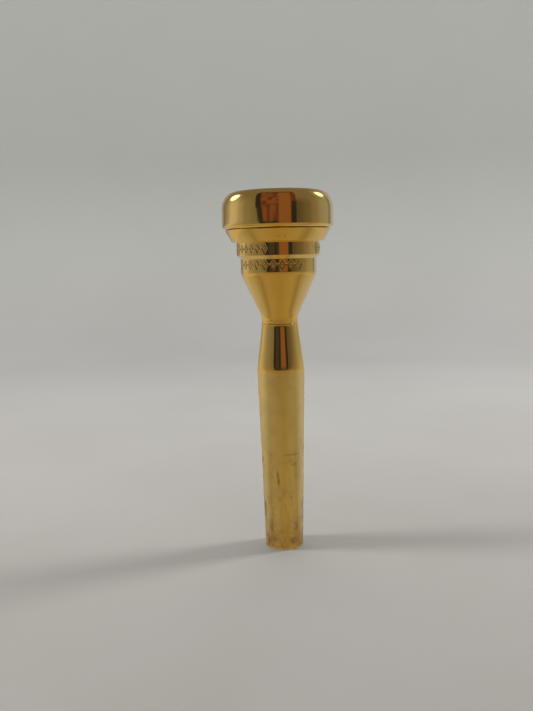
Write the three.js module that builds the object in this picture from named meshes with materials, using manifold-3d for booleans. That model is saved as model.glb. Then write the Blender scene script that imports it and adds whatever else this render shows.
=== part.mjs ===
// Modular trumpet mouthpiece in gold-plated brass, standing on its shank end with the cup upward.
// A screw rim, a cup underpart and a screw backbore share one axis, and a rubber ring seals each
// threaded joint. Millimetres, +Z up, origin at the centre of the shank end.

import * as THREE from 'three';
import { mergeVertices } from 'three/addons/utils/BufferGeometryUtils.js';
import Module from 'manifold-3d';

const wasm = await Module();
wasm.setup();

// ---- Driving dimensions -------------------------------------------------------------------------

const HEIGHT = 88.45;              // shank end to the high point of the rim
const RIM_RADIUS = 13.48;
const RIM_PEAK_RADIUS = 10.3;      // circle of the rim's high point
const RIM_SHOULDER_Z = 84.3;       // where the rim's straight side turns into its rounded top
const RIM_EDGE_ROUNDING = 0.95;    // lower outside edge of the rim

const CUP_RADIUS = 8.15;           // mouth of the cup, at the rim's inner edge
const CUP_EDGE_Z = 86.6;
const CUP_DEPTH = 11.2;            // depth of the cup's elliptical bowl below its edge
const THROAT_RADIUS = 1.83;

const RIM_SEAM_Z = 79.55;          // rim meets the cup's flange
const BACKBORE_SEAM_Z = 56.8;      // cup meets the backbore, at the waist
const SEAM_GAP = 0.1;              // gap left at each screwed-down face

const FLANGE_RADIUS = 12.88;
const FLANGE_FOOT = { r: 11.25, z: 76.6 };
const BAND_1 = { r: 10.15, top: 76.4, bottom: 73.3 };
const BAND_2 = { r: 9.25, top: 72.5, bottom: 68.78 };
const CONE_FOOT_Z = 58.42;
const CONE_TOP_ROUNDING = 3.5;
const CONE_FOOT_ROUNDING = 5;
const WAIST_RADIUS = 4.46;

const SHOULDER_Z = 45.6;           // widest point of the backbore, where the taper begins
const SHANK_END_RADIUS = 4.72;
const SHANK_SLOPE = 0.025;         // radius gained per millimetre: the standard 1 in 20 taper
const BACKBORE_END_RADIUS = 4.2;
const BACKBORE_CURVE = 0.85;       // 1 would make the backbore a straight cone
const EDGE_CHAMFER = 0.15;         // broken edges of the foot, the flange and the two stubs

const RIM_STUB_TOP_Z = 83.5;       // threaded stub on top of the cup
const BACKBORE_STUB_TOP_Z = 63.6;  // threaded stub on top of the backbore
const SOCKET_LIP = 0.55;           // lead-in chamfer at the mouth of each threaded hole

// Thread forms. z is the height of the ridge's first turn; root and crest are its radii.
const RIM_THREAD = { root: 10.75, crest: 11.25, pitch: 0.8, z: 80.2, turns: 3.5, segments: 40 };
const BACKBORE_THREAD = { root: 3.05, crest: 3.5, pitch: 0.75, z: 57.9, turns: 5.75, segments: 24 };
const THREAD_CREST_HALF_WIDTH = 0.07;
const THREAD_FLANK_SLOPE = 0.385;  // axial run of a flank per millimetre of height
const THREAD_RADIAL_PLAY = 0.1;
const THREAD_AXIAL_PLAY = 0.07;
const THREAD_BURIED = 0.12;        // depth of a ridge's foot inside the cylinder that carries it
const LEAD_IN_TURNS = 1.6;         // a nut's groove runs on past the mouth of its hole
const RUN_OUT_TURNS = 0.25;        // and past the end of the ridge

const RIM_RING = { r: 9.4, section: 0.5 };
const BACKBORE_RING = { r: 3.4, section: 0.4, z: 63.05 };
const NOSE_RADIUS = 2.93;          // plain end of the backbore's stub, inside its ring
const RING_PLAY = 0.05;

const ROUND_SEGMENTS = 40;
const SMALL_SEGMENTS = 24;
const RING_SIDES = 8;

// ---- Outlines, as [radius, height] --------------------------------------------------------------

/** Points of the arc that rounds the corner at p, between its neighbours a and b. */
function roundedCorner(a, p, b, radius, steps) {
  const corner = new THREE.Vector2(...p);
  const toA = new THREE.Vector2(...a).sub(corner).normalize();
  const toB = new THREE.Vector2(...b).sub(corner).normalize();
  const half = Math.acos(toA.dot(toB)) / 2;
  const centre = toA.clone().add(toB).setLength(radius / Math.sin(half)).add(corner);
  const start = toA.multiplyScalar(radius / Math.tan(half)).add(corner).sub(centre);
  const end = toB.multiplyScalar(radius / Math.tan(half)).add(corner).sub(centre);
  const turn = Math.atan2(start.cross(end), start.dot(end));
  const origin = new THREE.Vector2();
  return Array.from({ length: steps + 1 }, (_, i) => {
    const point = start.clone().rotateAround(origin, (turn * i) / steps).add(centre);
    return [point.x, point.y];
  });
}

/** Points of an ellipse's arc, in degrees anticlockwise from the outward direction. */
function ellipseArc(centre, semiR, semiZ, from, to, steps) {
  return Array.from({ length: steps + 1 }, (_, i) => {
    const angle = THREE.MathUtils.degToRad(THREE.MathUtils.lerp(from, to, i / steps));
    return [centre[0] + semiR * Math.cos(angle), centre[1] + semiZ * Math.sin(angle)];
  });
}

/** Points of the curve radiusAt(z) from z = from to z = to. */
function curve(radiusAt, from, to, steps) {
  return Array.from({ length: steps + 1 }, (_, i) => {
    const z = THREE.MathUtils.lerp(from, to, i / steps);
    return [radiusAt(z), z];
  });
}

function bowlRadius(z) {
  const depth = (CUP_EDGE_Z - z) / CUP_DEPTH;
  return CUP_RADIUS * Math.sqrt(1 - depth * depth);
}

function bowlHeightAt(radius) {
  return CUP_EDGE_Z - CUP_DEPTH * Math.sqrt(1 - (radius / CUP_RADIUS) ** 2);
}

function shankRadius(z) {
  return SHANK_END_RADIUS + SHANK_SLOPE * z;
}

function flareRadius(z) {
  const t = (BACKBORE_SEAM_Z - z) / (BACKBORE_SEAM_Z - SHOULDER_Z);
  const eased = 0.75 * t + 0.25 * THREE.MathUtils.smoothstep(t, 0, 1);
  return THREE.MathUtils.lerp(WAIST_RADIUS, shankRadius(SHOULDER_Z), eased);
}

function backboreRadius(z) {
  const t = Math.max(0, 1 - z / BACKBORE_STUB_TOP_Z) ** BACKBORE_CURVE;
  return THREE.MathUtils.lerp(THROAT_RADIUS, BACKBORE_END_RADIUS, t);
}

// ---- Solids -------------------------------------------------------------------------------------

function solidFrom(geometry) {
  geometry.deleteAttribute('normal');
  geometry.deleteAttribute('uv');
  const merged = mergeVertices(geometry, 1e-5);
  return new wasm.Manifold(new wasm.Mesh({
    numProp: 3,
    vertProperties: new Float32Array(merged.attributes.position.array),
    triVerts: new Uint32Array(merged.index.array),
  }));
}

/** Turns an outline about the Z axis. It runs up the outside and down the inside. */
function turned(outline, segments = ROUND_SEGMENTS) {
  const points = outline.map(([r, z]) => new THREE.Vector2(r, z));
  return solidFrom(new THREE.LatheGeometry(points, segments).rotateX(Math.PI / 2));
}

/** Helical ridge of a right-hand thread. play widens it into the groove of its nut. */
function threadRidge(thread, fromTurn, toTurn, play = { radial: 0, axial: 0 }) {
  const foot = thread.root - THREAD_BURIED;
  const crest = thread.crest + play.radial;
  const crestHalfWidth = THREAD_CREST_HALF_WIDTH + play.axial;
  const halfWidth = (r) => crestHalfWidth + (thread.crest - r) * THREAD_FLANK_SLOPE;
  const section = [
    [foot, -halfWidth(foot)], [crest, -halfWidth(crest)],
    [crest, halfWidth(crest)], [foot, halfWidth(foot)],
  ];
  const sides = section.length;
  const steps = Math.round((toTurn - fromTurn) * thread.segments);
  const positions = [];
  const index = [];
  for (let i = 0; i <= steps; i++) {
    const turn = fromTurn + i / thread.segments;
    const angle = 2 * Math.PI * turn;
    for (const [r, z] of section) {
      positions.push(r * Math.cos(angle), r * Math.sin(angle), thread.z + thread.pitch * turn + z);
    }
  }
  for (let i = 0; i < steps; i++) {
    for (let side = 0; side < sides; side++) {
      const a = i * sides + side;
      const b = i * sides + (side + 1) % sides;
      index.push(a, a + sides, b, b, a + sides, b + sides);
    }
  }
  const last = steps * sides;
  index.push(0, 1, 2, 0, 2, 3, last, last + 2, last + 1, last, last + 3, last + 2);
  const geometry = new THREE.BufferGeometry();
  geometry.setAttribute('position', new THREE.Float32BufferAttribute(positions, 3));
  geometry.setIndex(index);
  return solidFrom(geometry);
}

function maleThread(thread) {
  return threadRidge(thread, 0, thread.turns);
}

function femaleThread(thread) {
  const play = { radial: THREAD_RADIAL_PLAY, axial: THREAD_AXIAL_PLAY };
  return threadRidge(thread, -LEAD_IN_TURNS, thread.turns + RUN_OUT_TURNS, play);
}

// ---- The five pieces ----------------------------------------------------------------------------

function rimSolid() {
  const face = RIM_SEAM_Z + SEAM_GAP / 2;
  const ceiling = RIM_STUB_TOP_Z + SEAM_GAP;
  const hole = RIM_THREAD.root + THREAD_RADIAL_PLAY;
  const grooveHalf = RIM_RING.section + RING_PLAY;
  const grooveTop = ceiling + 2 * RIM_RING.section;
  const edge = [RIM_RADIUS, face];
  const outline = [
    [hole + SOCKET_LIP, face],
    ...roundedCorner([0, face], edge, [RIM_RADIUS, HEIGHT], RIM_EDGE_ROUNDING, 4),
    ...ellipseArc([RIM_PEAK_RADIUS, RIM_SHOULDER_Z],
      RIM_RADIUS - RIM_PEAK_RADIUS, HEIGHT - RIM_SHOULDER_Z, 0, 90, 7),
    ...ellipseArc([RIM_PEAK_RADIUS, CUP_EDGE_Z],
      RIM_PEAK_RADIUS - CUP_RADIUS, HEIGHT - CUP_EDGE_Z, 90, 180, 5).slice(1),
    ...curve(bowlRadius, CUP_EDGE_Z, ceiling, 2).slice(1),
    [RIM_RING.r - grooveHalf, ceiling],
    [RIM_RING.r - grooveHalf, grooveTop],
    [RIM_RING.r + grooveHalf, grooveTop],
    [RIM_RING.r + grooveHalf, ceiling],
    [hole, ceiling],
    [hole, face + SOCKET_LIP],
    [hole + SOCKET_LIP, face],
  ];
  return turned(outline).subtract(femaleThread(RIM_THREAD));
}

function cupOutside() {
  const face = RIM_SEAM_Z - SEAM_GAP / 2;
  const foot = BACKBORE_SEAM_Z + SEAM_GAP / 2;
  const coneFoot = [WAIST_RADIUS, CONE_FOOT_Z];
  const coneTop = [BAND_2.r, BAND_2.bottom];
  return turned([
    [0, foot],
    [WAIST_RADIUS, foot],
    ...roundedCorner([WAIST_RADIUS, foot], coneFoot, coneTop, CONE_FOOT_ROUNDING, 3),
    ...roundedCorner(coneFoot, coneTop, [BAND_2.r, BAND_2.top], CONE_TOP_ROUNDING, 3),
    [BAND_2.r, BAND_2.top],
    [BAND_1.r, BAND_1.bottom],
    [BAND_1.r, BAND_1.top],
    [FLANGE_FOOT.r, FLANGE_FOOT.z],
    [FLANGE_RADIUS, face - EDGE_CHAMFER],
    [FLANGE_RADIUS - EDGE_CHAMFER, face],
    [RIM_THREAD.root, face],
    [RIM_THREAD.root, RIM_STUB_TOP_Z - EDGE_CHAMFER],
    [RIM_THREAD.root - EDGE_CHAMFER, RIM_STUB_TOP_Z],
    [0, RIM_STUB_TOP_Z],
  ]);
}

/** The bowl of the cup, from its floor at the throat up through the top of the stub. */
function bowl() {
  const floor = bowlHeightAt(THROAT_RADIUS);
  const steps = 8;
  const wall = Array.from({ length: steps + 1 }, (_, i) => {
    const spread = Math.sin((i / steps) * (Math.PI / 2));
    const r = THREE.MathUtils.lerp(THROAT_RADIUS, bowlRadius(RIM_STUB_TOP_Z), spread);
    return [r, bowlHeightAt(r)];
  });
  const mouth = bowlRadius(RIM_STUB_TOP_Z + 1);
  return turned([[0, floor], ...wall, [mouth, RIM_STUB_TOP_Z + 1], [0, RIM_STUB_TOP_Z + 1]]);
}

/** The throat, the backbore's socket below it and the groove of the backbore's ring. */
function throatAndSocket() {
  const mouth = BACKBORE_SEAM_Z + SEAM_GAP / 2;
  const ceiling = BACKBORE_STUB_TOP_Z + SEAM_GAP;
  const hole = BACKBORE_THREAD.root + THREAD_RADIAL_PLAY;
  const groove = BACKBORE_RING.section + RING_PLAY;
  const grooveRadius = BACKBORE_RING.r + groove;
  return turned([
    [0, mouth - 1],
    [hole + SOCKET_LIP, mouth - 1],
    [hole + SOCKET_LIP, mouth],
    [hole, mouth + SOCKET_LIP],
    [hole, BACKBORE_RING.z - groove],
    [grooveRadius, BACKBORE_RING.z - groove],
    [grooveRadius, BACKBORE_RING.z + groove],
    [hole, BACKBORE_RING.z + groove],
    [hole, ceiling],
    [THROAT_RADIUS, ceiling],
    [THROAT_RADIUS, bowlHeightAt(THROAT_RADIUS) + 1],
    [0, bowlHeightAt(THROAT_RADIUS) + 1],
  ], SMALL_SEGMENTS);
}

function cupSolid() {
  return cupOutside()
    .add(maleThread(RIM_THREAD))
    .subtract(bowl())
    .subtract(throatAndSocket())
    .subtract(femaleThread(BACKBORE_THREAD));
}

function backboreSolid() {
  const face = BACKBORE_SEAM_Z - SEAM_GAP / 2;
  const threadEnd = BACKBORE_RING.z - BACKBORE_RING.section - RING_PLAY;
  const outside = turned([
    [0, 0],
    [SHANK_END_RADIUS - EDGE_CHAMFER, 0],
    ...curve(shankRadius, EDGE_CHAMFER, SHOULDER_Z, 2),
    ...curve(flareRadius, SHOULDER_Z, face, 6).slice(1),
    [0, face],
  ]);
  const stub = turned([
    [0, face - 1],
    [BACKBORE_THREAD.root, face - 1],
    [BACKBORE_THREAD.root, threadEnd - EDGE_CHAMFER],
    [NOSE_RADIUS, threadEnd],
    [NOSE_RADIUS, BACKBORE_STUB_TOP_Z],
    [0, BACKBORE_STUB_TOP_Z],
  ], SMALL_SEGMENTS);
  const bore = turned([
    [0, -1],
    [BACKBORE_END_RADIUS, -1],
    ...curve(backboreRadius, 0, BACKBORE_STUB_TOP_Z, 8),
    [THROAT_RADIUS, BACKBORE_STUB_TOP_Z + 1],
    [0, BACKBORE_STUB_TOP_Z + 1],
  ], SMALL_SEGMENTS);
  return outside.add(stub).add(maleThread(BACKBORE_THREAD)).subtract(bore);
}

function ringSolid(ring, segments) {
  return solidFrom(new THREE.TorusGeometry(ring.r, ring.section, RING_SIDES, segments));
}

// ---- Materials and assembly ---------------------------------------------------------------------

function metal(name, color, roughness) {
  return new THREE.MeshStandardMaterial({ name, color, roughness, metalness: 1 });
}

const polishedGold = metal('polished gold plate', 0xc9a24a, 0.12);
const wornGold = metal('worn gold plate on the shank', 0xb08d45, 0.38);
const sealRubber = new THREE.MeshStandardMaterial({
  name: 'black nitrile rubber', color: 0x141414, roughness: 0.7, metalness: 0,
});

function piece(name, solid, material) {
  const { vertProperties, triVerts } = solid.getMesh();
  const geometry = new THREE.BufferGeometry();
  geometry.setAttribute('position', new THREE.Float32BufferAttribute(vertProperties, 3));
  geometry.setIndex(Array.from(triVerts));
  geometry.computeVertexNormals();
  const mesh = new THREE.Mesh(geometry, material.clone());
  mesh.name = name;
  return mesh;
}

const rimRing = piece('rim_seal_ring', ringSolid(RIM_RING, ROUND_SEGMENTS), sealRubber);
rimRing.position.z = RIM_STUB_TOP_Z + RING_PLAY + RIM_RING.section;
const backboreRing = piece('backbore_seal_ring', ringSolid(BACKBORE_RING, SMALL_SEGMENTS), sealRubber);
backboreRing.position.z = BACKBORE_RING.z;

const mouthpiece = new THREE.Group();
mouthpiece.add(
  piece('rim', rimSolid(), polishedGold),
  rimRing,
  piece('cup', cupSolid(), polishedGold),
  backboreRing,
  piece('backbore', backboreSolid(), wornGold),
);

export default mouthpiece;
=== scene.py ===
"""Looks of a modular trumpet mouthpiece: turned and threaded gold pieces, their wear, and a light tent."""

import math

import bpy
from mathutils import Matrix, Vector


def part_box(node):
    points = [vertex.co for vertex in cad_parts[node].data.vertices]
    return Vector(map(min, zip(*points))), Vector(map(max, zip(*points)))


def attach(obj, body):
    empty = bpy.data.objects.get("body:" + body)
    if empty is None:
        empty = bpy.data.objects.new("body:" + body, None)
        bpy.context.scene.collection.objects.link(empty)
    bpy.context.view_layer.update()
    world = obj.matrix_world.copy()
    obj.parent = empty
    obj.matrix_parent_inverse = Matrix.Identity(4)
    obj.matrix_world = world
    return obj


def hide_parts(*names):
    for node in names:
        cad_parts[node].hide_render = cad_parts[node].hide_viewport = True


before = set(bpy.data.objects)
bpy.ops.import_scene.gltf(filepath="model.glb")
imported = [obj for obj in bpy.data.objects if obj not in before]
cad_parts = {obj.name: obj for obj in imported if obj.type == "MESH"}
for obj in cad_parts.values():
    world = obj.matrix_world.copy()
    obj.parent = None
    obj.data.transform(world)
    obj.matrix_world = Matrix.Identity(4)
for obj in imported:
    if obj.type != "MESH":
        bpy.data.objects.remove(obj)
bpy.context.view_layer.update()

MM = 0.001

# ---- Sizes in millimetres, as in the CAD source ---------------------------------------------------


def node_box(node):
    low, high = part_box(node)
    return low / MM, high / MM


RIM_LOW, RIM_HIGH = node_box("rim")
CUP_LOW, CUP_HIGH = node_box("cup")

RIM_RADIUS = RIM_HIGH.x
RIM_FACE_Z = RIM_LOW.z
RIM_TOP_Z = RIM_HIGH.z
RIM_PEAK_RADIUS = 10.3
RIM_SHOULDER_Z = 84.3
RIM_EDGE_ROUNDING = 0.95
RIM_SIDE_LOW = RIM_FACE_Z + 1.4         # the plain upright part of the rim's side
RIM_SIDE_HIGH = RIM_SHOULDER_Z - 0.5

CUP_RADIUS = 8.15
CUP_EDGE_Z = 86.6
CUP_DEPTH = 11.2
THROAT_RADIUS = 1.83

SEAM_GAP = 0.1
FLANGE_FACE_Z = RIM_FACE_Z - SEAM_GAP
FLANGE_RADIUS = CUP_HIGH.x
FLANGE_FOOT = (11.25, 76.6)
BAND_1 = {"r": 10.15, "top": 76.4, "bottom": 73.3}
BAND_2 = {"r": 9.25, "top": 72.5, "bottom": 68.78}
CONE_FOOT_Z = 58.42
CONE_TOP_ROUNDING = 3.5
CONE_FOOT_ROUNDING = 5.0
WAIST_RADIUS = 4.46
CUP_FOOT_Z = CUP_LOW.z
STUB_TOP_Z = CUP_HIGH.z

WAIST_Z = CUP_FOOT_Z - SEAM_GAP
SHOULDER_Z = 45.3             # a little below the solid's sharp corner, because this one is rounded
SHANK_END_RADIUS = 4.72
SHANK_SLOPE = 0.025
SHANK_FIRST_Z = 0.8           # its lowest ring above the rounded foot
BACKBORE_END_RADIUS = 4.2
BACKBORE_CURVE = 0.85
NOSE_TOP_Z = node_box("backbore")[1].z
NOSE_RADIUS = 2.93
SOCKET_LIP = 0.55             # chamfer at a socket's mouth, and the plain neck of the stub inside it
STUB_CHAMFER = (0.15, 0.2)    # across and down, at the top of the cup's stub

RIM_THREAD = {"root": 10.75, "height": 0.5, "pitch": 0.8, "z": 80.2}
BACKBORE_THREAD = {"root": 3.05, "height": 0.45, "pitch": 0.75, "z": 57.9}
THREAD_PLAY = 0.1
# Share of one pitch, from a root's middle to the next, and share of the ridge's height there.
THREAD_FORM = [(0.0, 0.0), (0.12, 0.0), (0.17, 0.08), (0.37, 0.92), (0.42, 1.0),
               (0.58, 1.0), (0.63, 0.92), (0.83, 0.08), (0.88, 0.0)]
THREAD_RUN_OUT = 0.7

RIM_RING = {"r": 9.4, "section": 0.5, "z": STUB_TOP_Z + 0.55}
BACKBORE_RING = {"r": 3.4, "section": 0.4, "z": 63.05}
RING_PLAY = 0.05

COLUMNS = 144                 # points round each piece
STAMP_COLUMNS = 5 * COLUMNS   # and round the two stamped bands
STAMP_ROW = 0.09
CREASE_ANGLE = math.radians(28)
SMALL_EDGE = 0.12             # rounding of most outside edges
SEAM_EDGE = 0.03              # of the two that meet at the waist
FLANGE_EDGE = 0.15            # of the flange's upper one
FOOT_EDGE = 0.18              # and of the shank's end
FOOT_BORE_EDGE = 0.06         # chamfer inside the shank's end
NOSE_BORE_EDGE = 0.05         # and inside the nose
FLARE_ROUNDING = 9.0          # where the flare turns upright at its top and into the shank below
WAIST_BLEND = 0.6             # half the height left for the upper turn
SHOULDER_BLEND = 1.0          # and for the lower one
FLASH = 0.02                  # height of the moulding line round a rubber ring


# ---- Outlines, as lists of (radius, height) --------------------------------------------------------


def lerp(a, b, t):
    return a + (b - a) * t


def smoothstep(t):
    t = min(1.0, max(0.0, t))
    return t * t * (3 - 2 * t)


def rounded(a, p, b, radius, steps=4):
    """The arc that rounds the corner at p, between its neighbours a and b."""
    corner = Vector(p)
    to_a = (Vector(a) - corner).normalized()
    to_b = (Vector(b) - corner).normalized()
    half = math.acos(max(-1.0, min(1.0, to_a.dot(to_b)))) / 2
    centre = corner + (to_a + to_b).normalized() * (radius / math.sin(half))
    start = corner + to_a * (radius / math.tan(half)) - centre
    end = corner + to_b * (radius / math.tan(half)) - centre
    turn = math.atan2(start.x * end.y - start.y * end.x, start.dot(end))
    points = []
    for i in range(steps + 1):
        c, s = math.cos(turn * i / steps), math.sin(turn * i / steps)
        points.append((centre.x + c * start.x - s * start.y, centre.y + s * start.x + c * start.y))
    return points


def outline(start, corners, end):
    """Rounds corners (r, z, rounding) that straight lines join. start and end only aim the first
    and the last line."""
    path = [start, *(corner[:2] for corner in corners), end]
    points = []
    for i, corner in enumerate(corners):
        points += rounded(path[i], path[i + 1], path[i + 2], corner[2])
    return points


def straight(a, b, steps):
    """Points between a and b, without the two ends."""
    return [(lerp(a[0], b[0], i / steps), lerp(a[1], b[1], i / steps)) for i in range(1, steps)]


def ellipse_arc(centre, semi_r, semi_z, start, end, steps):
    points = []
    for i in range(steps + 1):
        angle = math.radians(lerp(start, end, i / steps))
        points.append((centre[0] + semi_r * math.cos(angle), centre[1] + semi_z * math.sin(angle)))
    return points


def curve(radius_at, start, end, steps):
    heights = [lerp(start, end, i / steps) for i in range(steps + 1)]
    return [(radius_at(z), z) for z in heights]


def bowl_radius(z):
    return CUP_RADIUS * math.sqrt(1 - ((CUP_EDGE_Z - z) / CUP_DEPTH) ** 2)


def bowl_height(r):
    return CUP_EDGE_Z - CUP_DEPTH * math.sqrt(1 - (r / CUP_RADIUS) ** 2)


def shank_radius(z):
    return SHANK_END_RADIUS + SHANK_SLOPE * z


def flare_radius(z):
    t = (WAIST_Z - z) / (WAIST_Z - SHOULDER_Z)
    return lerp(WAIST_RADIUS, shank_radius(SHOULDER_Z), 0.75 * t + 0.25 * smoothstep(t))


def backbore_radius(z):
    return lerp(THROAT_RADIUS, BACKBORE_END_RADIUS, max(0.0, 1 - z / NOSE_TOP_Z) ** BACKBORE_CURVE)


# ---- Turning --------------------------------------------------------------------------------------


class Lathe:
    """Builds one closed turned piece as a run of rings, up its outside and down its inside."""

    def __init__(self, name):
        self.name = name
        self.points = []
        self.faces = []
        self.grime = []
        self.first = None
        self.last = None

    def add_point(self, r, z, angle, grime=0.0):
        self.points.append((r * math.cos(angle) * MM, r * math.sin(angle) * MM, z * MM))
        self.grime.append(grime)
        return len(self.points) - 1

    def join(self, ring):
        """Faces between the last ring and this one, whose counts of points may be in a whole ratio."""
        if self.last is None:
            self.first = ring
        else:
            self.bridge(self.last, ring)
        self.last = ring

    def bridge(self, low, high):
        coarse, fine = (low, high) if len(low) <= len(high) else (high, low)
        ratio = len(fine) // len(coarse)
        flip = coarse is high
        for i in range(len(coarse)):
            a, b = coarse[i], coarse[(i + 1) % len(coarse)]
            steps = [fine[(i * ratio + k) % len(fine)] for k in range(ratio + 1)]
            if ratio == 1:
                found = [[a, b, steps[1], steps[0]]]
            else:
                middle = ratio // 2
                found = [[a, steps[k + 1], steps[k]] for k in range(middle)]
                found.append([a, b, steps[middle]])
                found += [[b, steps[k + 1], steps[k]] for k in range(middle, ratio)]
            self.faces += [face[::-1] if flip else face for face in found]

    def ring(self, r, z, columns=COLUMNS, dent=None):
        """dent(angle, z) gives how far each point sinks below the surface, and how grimy it is."""
        points = []
        for i in range(columns):
            angle = 2 * math.pi * i / columns
            depth, grime = dent(angle, z) if dent else (0.0, 0.0)
            points.append(self.add_point(r - depth, z, angle, grime))
        self.join(points)

    def rings(self, profile):
        for r, z in profile:
            self.ring(r, z)

    def thread(self, radius, height, pitch, phase_z, low, high):
        """A right-hand thread on the cylinder between heights low and high, running out at both ends.
        Its rows of points follow the helix. low comes after high on the way down an inside wall."""
        bottom, top = min(low, high), max(low, high)
        ends = {}
        for z in (bottom, top):
            ends[z] = [self.add_point(radius, z, 2 * math.pi * j / COLUMNS) for j in range(COLUMNS)]
        rows_per_turn = len(THREAD_FORM)
        first_row = math.floor((bottom - phase_z) / pitch - 1.5) * rows_per_turn
        last_row = math.ceil((top - phase_z) / pitch + 0.5) * rows_per_turn
        grid = {}
        for row in range(first_row, last_row + rows_per_turn + 1):
            share, form = THREAD_FORM[row % rows_per_turn]
            turns = row // rows_per_turn + share - 0.5
            for j in range(COLUMNS):
                z = phase_z + pitch * (turns + j / COLUMNS)
                slack = min(z - bottom, top - z)
                if slack < SMALL_EDGE / 4:
                    grid[row, j] = ends[bottom if z - bottom < top - z else top][j]
                    continue
                rise = height * form * smoothstep(slack / THREAD_RUN_OUT)
                grid[row, j] = self.add_point(radius + rise, z, 2 * math.pi * j / COLUMNS)
            grid[row - rows_per_turn, COLUMNS] = grid[row, 0]
        self.join_thread(grid, first_row, last_row, ends[low], ends[high], low < high)

    def join_thread(self, grid, first_row, last_row, start, end, upward):
        if self.last is None:
            self.first = start
        else:
            self.bridge(self.last, start)
        for row in range(first_row, last_row):
            for j in range(COLUMNS):
                corners = [grid[row, j], grid[row, j + 1], grid[row + 1, j + 1], grid[row + 1, j]]
                face = [p for i, p in enumerate(corners) if p != corners[i - 1]]
                if len(set(face)) == len(face) >= 3:
                    self.faces.append(face if upward else face[::-1])
        self.last = end

    def finish(self):
        """Closes the last ring on the first and makes the object."""
        self.bridge(self.last, self.first)
        used = sorted({p for face in self.faces for p in face})
        place = {p: i for i, p in enumerate(used)}
        mesh = bpy.data.meshes.new(self.name)
        faces = [[place[p] for p in face] for face in self.faces]
        mesh.from_pydata([self.points[p] for p in used], [], faces)
        grime = mesh.attributes.new("grime", "FLOAT", "POINT")
        grime.data.foreach_set("value", [self.grime[p] for p in used])
        mesh.polygons.foreach_set("use_smooth", [True] * len(mesh.polygons))
        mesh.set_sharp_from_angle(angle=CREASE_ANGLE)
        mesh.update()
        made = bpy.data.objects.new(self.name, mesh)
        bpy.context.scene.collection.objects.link(made)
        return made


# ---- The stamped border on the two bands ------------------------------------------------------------

STAMP_DEPTH = 0.075
LOZENGE_HALF_WIDTH = 0.3      # share of the spacing
LOZENGE_STROKE = 0.26         # width of its stamped outline
DOT_RADIUS = 0.15             # the dot in its middle
PUNCH_RADIUS = 0.17           # the punch between two lozenges


def lozenge(u, v, half_width, half_height):
    """Depth share of a lozenge's outline at (u, v), in millimetres from its middle."""
    slant = half_width * half_height / math.hypot(half_width, half_height)
    off_line = abs(abs(u) / half_width + abs(v) / half_height - 1) * slant
    return smoothstep(1.5 - off_line / (LOZENGE_STROKE / 2))


def punch(u, v, radius):
    return smoothstep(1.5 - math.hypot(u, v) / radius)


class Border:
    """A row of lozenges with a round punch between each two, along part of a band."""

    def __init__(self, radius, middle_z, spacing, height, arcs):
        """arcs holds (start, end) in degrees from the front, positive towards +X."""
        self.radius = radius
        self.middle_z = middle_z
        self.spacing = spacing
        self.height = height
        self.arcs = [(math.radians(start), math.radians(end)) for start, end in arcs]

    def dent(self, angle, z):
        """How deep the stamp is at a height and an angle from +X, and how grimy."""
        from_front = (angle + math.pi / 2 + math.pi) % (2 * math.pi) - math.pi
        share = max(self.share(from_front, z, start, end) for start, end in self.arcs)
        return STAMP_DEPTH * share, share

    def share(self, from_front, z, start, end):
        """Depth share of the row that one arc holds."""
        count = int((end - start) * self.radius / self.spacing)
        along = (from_front - start) * self.radius
        index = min(count, max(0, round(along / self.spacing)))
        u, v = along - index * self.spacing, z - self.middle_z
        mark = lozenge(u, v, LOZENGE_HALF_WIDTH * self.spacing, self.height / 2)
        past_ends = along < 0 or along > count * self.spacing
        between = 0.0 if past_ends else punch(abs(u) - self.spacing / 2, v, PUNCH_RADIUS)
        return max(mark, between, punch(u, v, DOT_RADIUS))


BORDER_1 = Border(BAND_1["r"], middle_z=74.85, spacing=1.75, height=1.9, arcs=[(-128, -17), (60, 122)])
BORDER_2 = Border(BAND_2["r"], middle_z=71.15, spacing=2.05, height=2.0, arcs=[(-72, 32)])


def stamped_band(lathe, r, bottom, top, border):
    """The upright cylinder between bottom and top, with its stamped border sunk in."""
    margin = SMALL_EDGE * 2
    low, high = bottom + margin, top - margin
    lathe.ring(r, low)
    rows = math.ceil((high - low) / STAMP_ROW)
    for i in range(1, rows):
        lathe.ring(r, lerp(low, high, i / rows), STAMP_COLUMNS, border.dent)
    lathe.ring(r, high)


# ---- The pieces --------------------------------------------------------------------------------------


def rim_outside(lathe):
    """The rounded lower edge, the upright side, and the crown over to the edge of the bowl."""
    edge = (RIM_RADIUS, RIM_FACE_Z)
    lathe.rings(rounded((0, RIM_FACE_Z), edge, (RIM_RADIUS, RIM_TOP_Z), RIM_EDGE_ROUNDING, steps=10))
    lathe.rings(curve(lambda z: RIM_RADIUS, RIM_SIDE_LOW, RIM_SIDE_HIGH, steps=3))
    lathe.rings(ellipse_arc((RIM_PEAK_RADIUS, RIM_SHOULDER_Z), RIM_RADIUS - RIM_PEAK_RADIUS,
                            RIM_TOP_Z - RIM_SHOULDER_Z, 0, 90, steps=28))
    lathe.rings(ellipse_arc((RIM_PEAK_RADIUS, CUP_EDGE_Z), RIM_PEAK_RADIUS - CUP_RADIUS,
                            RIM_TOP_Z - CUP_EDGE_Z, 90, 180, steps=18)[1:])


def rim_inside(lathe, ceiling):
    """The upper part of the bowl, then the rubber ring's groove in the ceiling of the threaded pocket."""
    lathe.rings(curve(bowl_radius, CUP_EDGE_Z, ceiling, steps=8)[1:])
    half_width = RIM_RING["section"] + RING_PLAY
    groove_top = ceiling + 2 * RIM_RING["section"]
    inner, outer = RIM_RING["r"] - half_width, RIM_RING["r"] + half_width
    lathe.rings([(inner, ceiling), (inner, groove_top), (outer, groove_top), (outer, ceiling)])


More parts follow.
